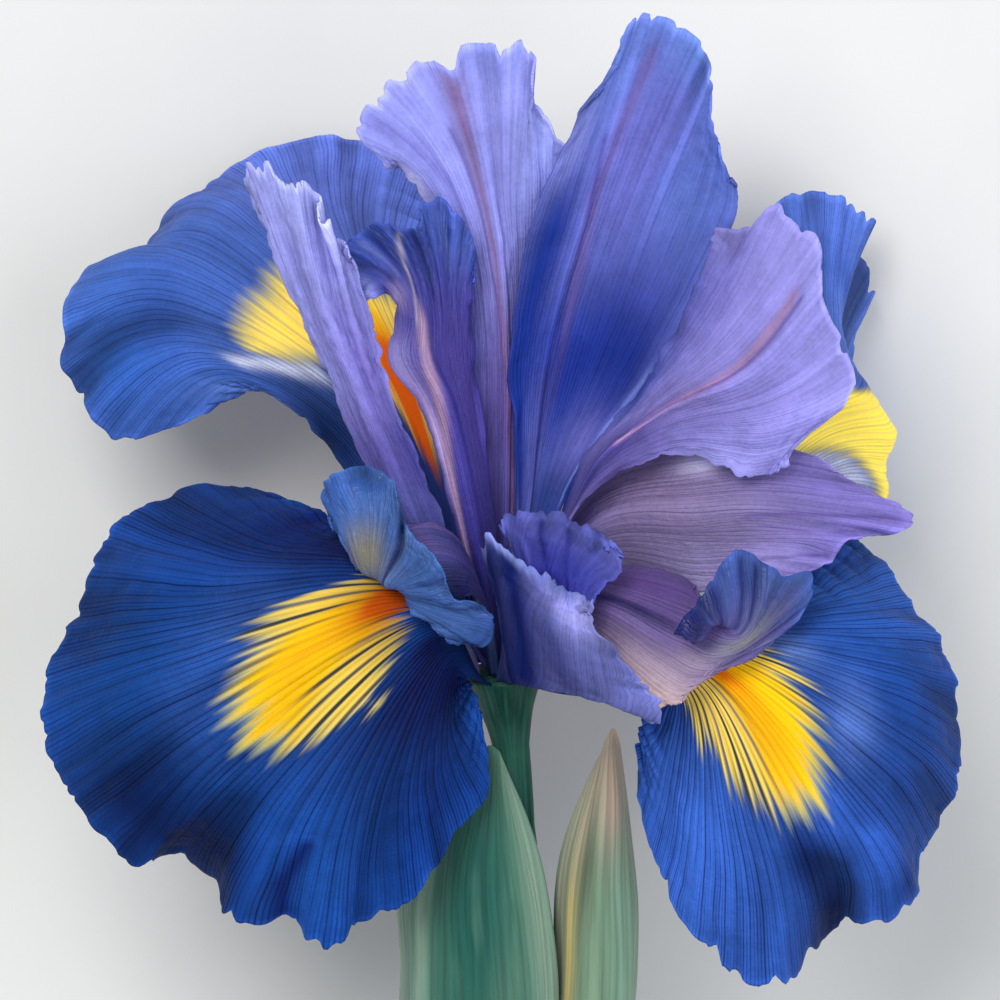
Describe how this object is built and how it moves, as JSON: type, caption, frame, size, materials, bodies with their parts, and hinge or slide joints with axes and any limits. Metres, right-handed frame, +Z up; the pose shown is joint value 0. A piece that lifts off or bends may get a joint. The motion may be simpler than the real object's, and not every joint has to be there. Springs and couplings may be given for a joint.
{
  "type": "iris flower",
  "caption": "Cut iris bloom with drooping falls, upright standards, crested style arms, papery bracts and a short stem, lying on its back.",
  "frame": {"origin": "under the middle of the box around the flower, at the surface it lies on", "axes": "+Y along the stem from the cut end to the bloom, +Z up out of the face of the bloom, +X to the right of a viewer looking down at it"},
  "size_m": [0.1018, 0.2052, 0.0678],
  "materials": {
    "fall_petal": "velvety deep blue petal, veined, yellow signal",
    "standard_petal": "satin lilac petal, finely veined",
    "style_arm": "violet petal-like arm with a paler crest",
    "anther": "powdery",
    "stem_green": "fresh green stalk, smooth",
    "bract_papery": "thin papery sheath, ribbed"
  },
  "bodies": {
    "root": {"fall_front_left": "fall_petal", "fall_front_right": "fall_petal", "fall_back_left": "fall_petal", "fall_back_right": "fall_petal", "standard_left": "standard_petal", "standard_centre": "standard_petal", "standard_tall": "standard_petal", "standard_right": "standard_petal", "standard_front": "standard_petal", "style_front_left": "style_arm", "style_front_right": "style_arm", "style_back_left": "style_arm", "style_back_right": "style_arm", "stamen_front_left": "anther", "stamen_front_right": "anther", "stamen_back_left": "anther", "stamen_back_right": "anther", "ovary": "stem_green", "flower_stem": "stem_green", "bract_left": "bract_papery", "bract_right": "bract_papery"}
  },
  "joints": []
}
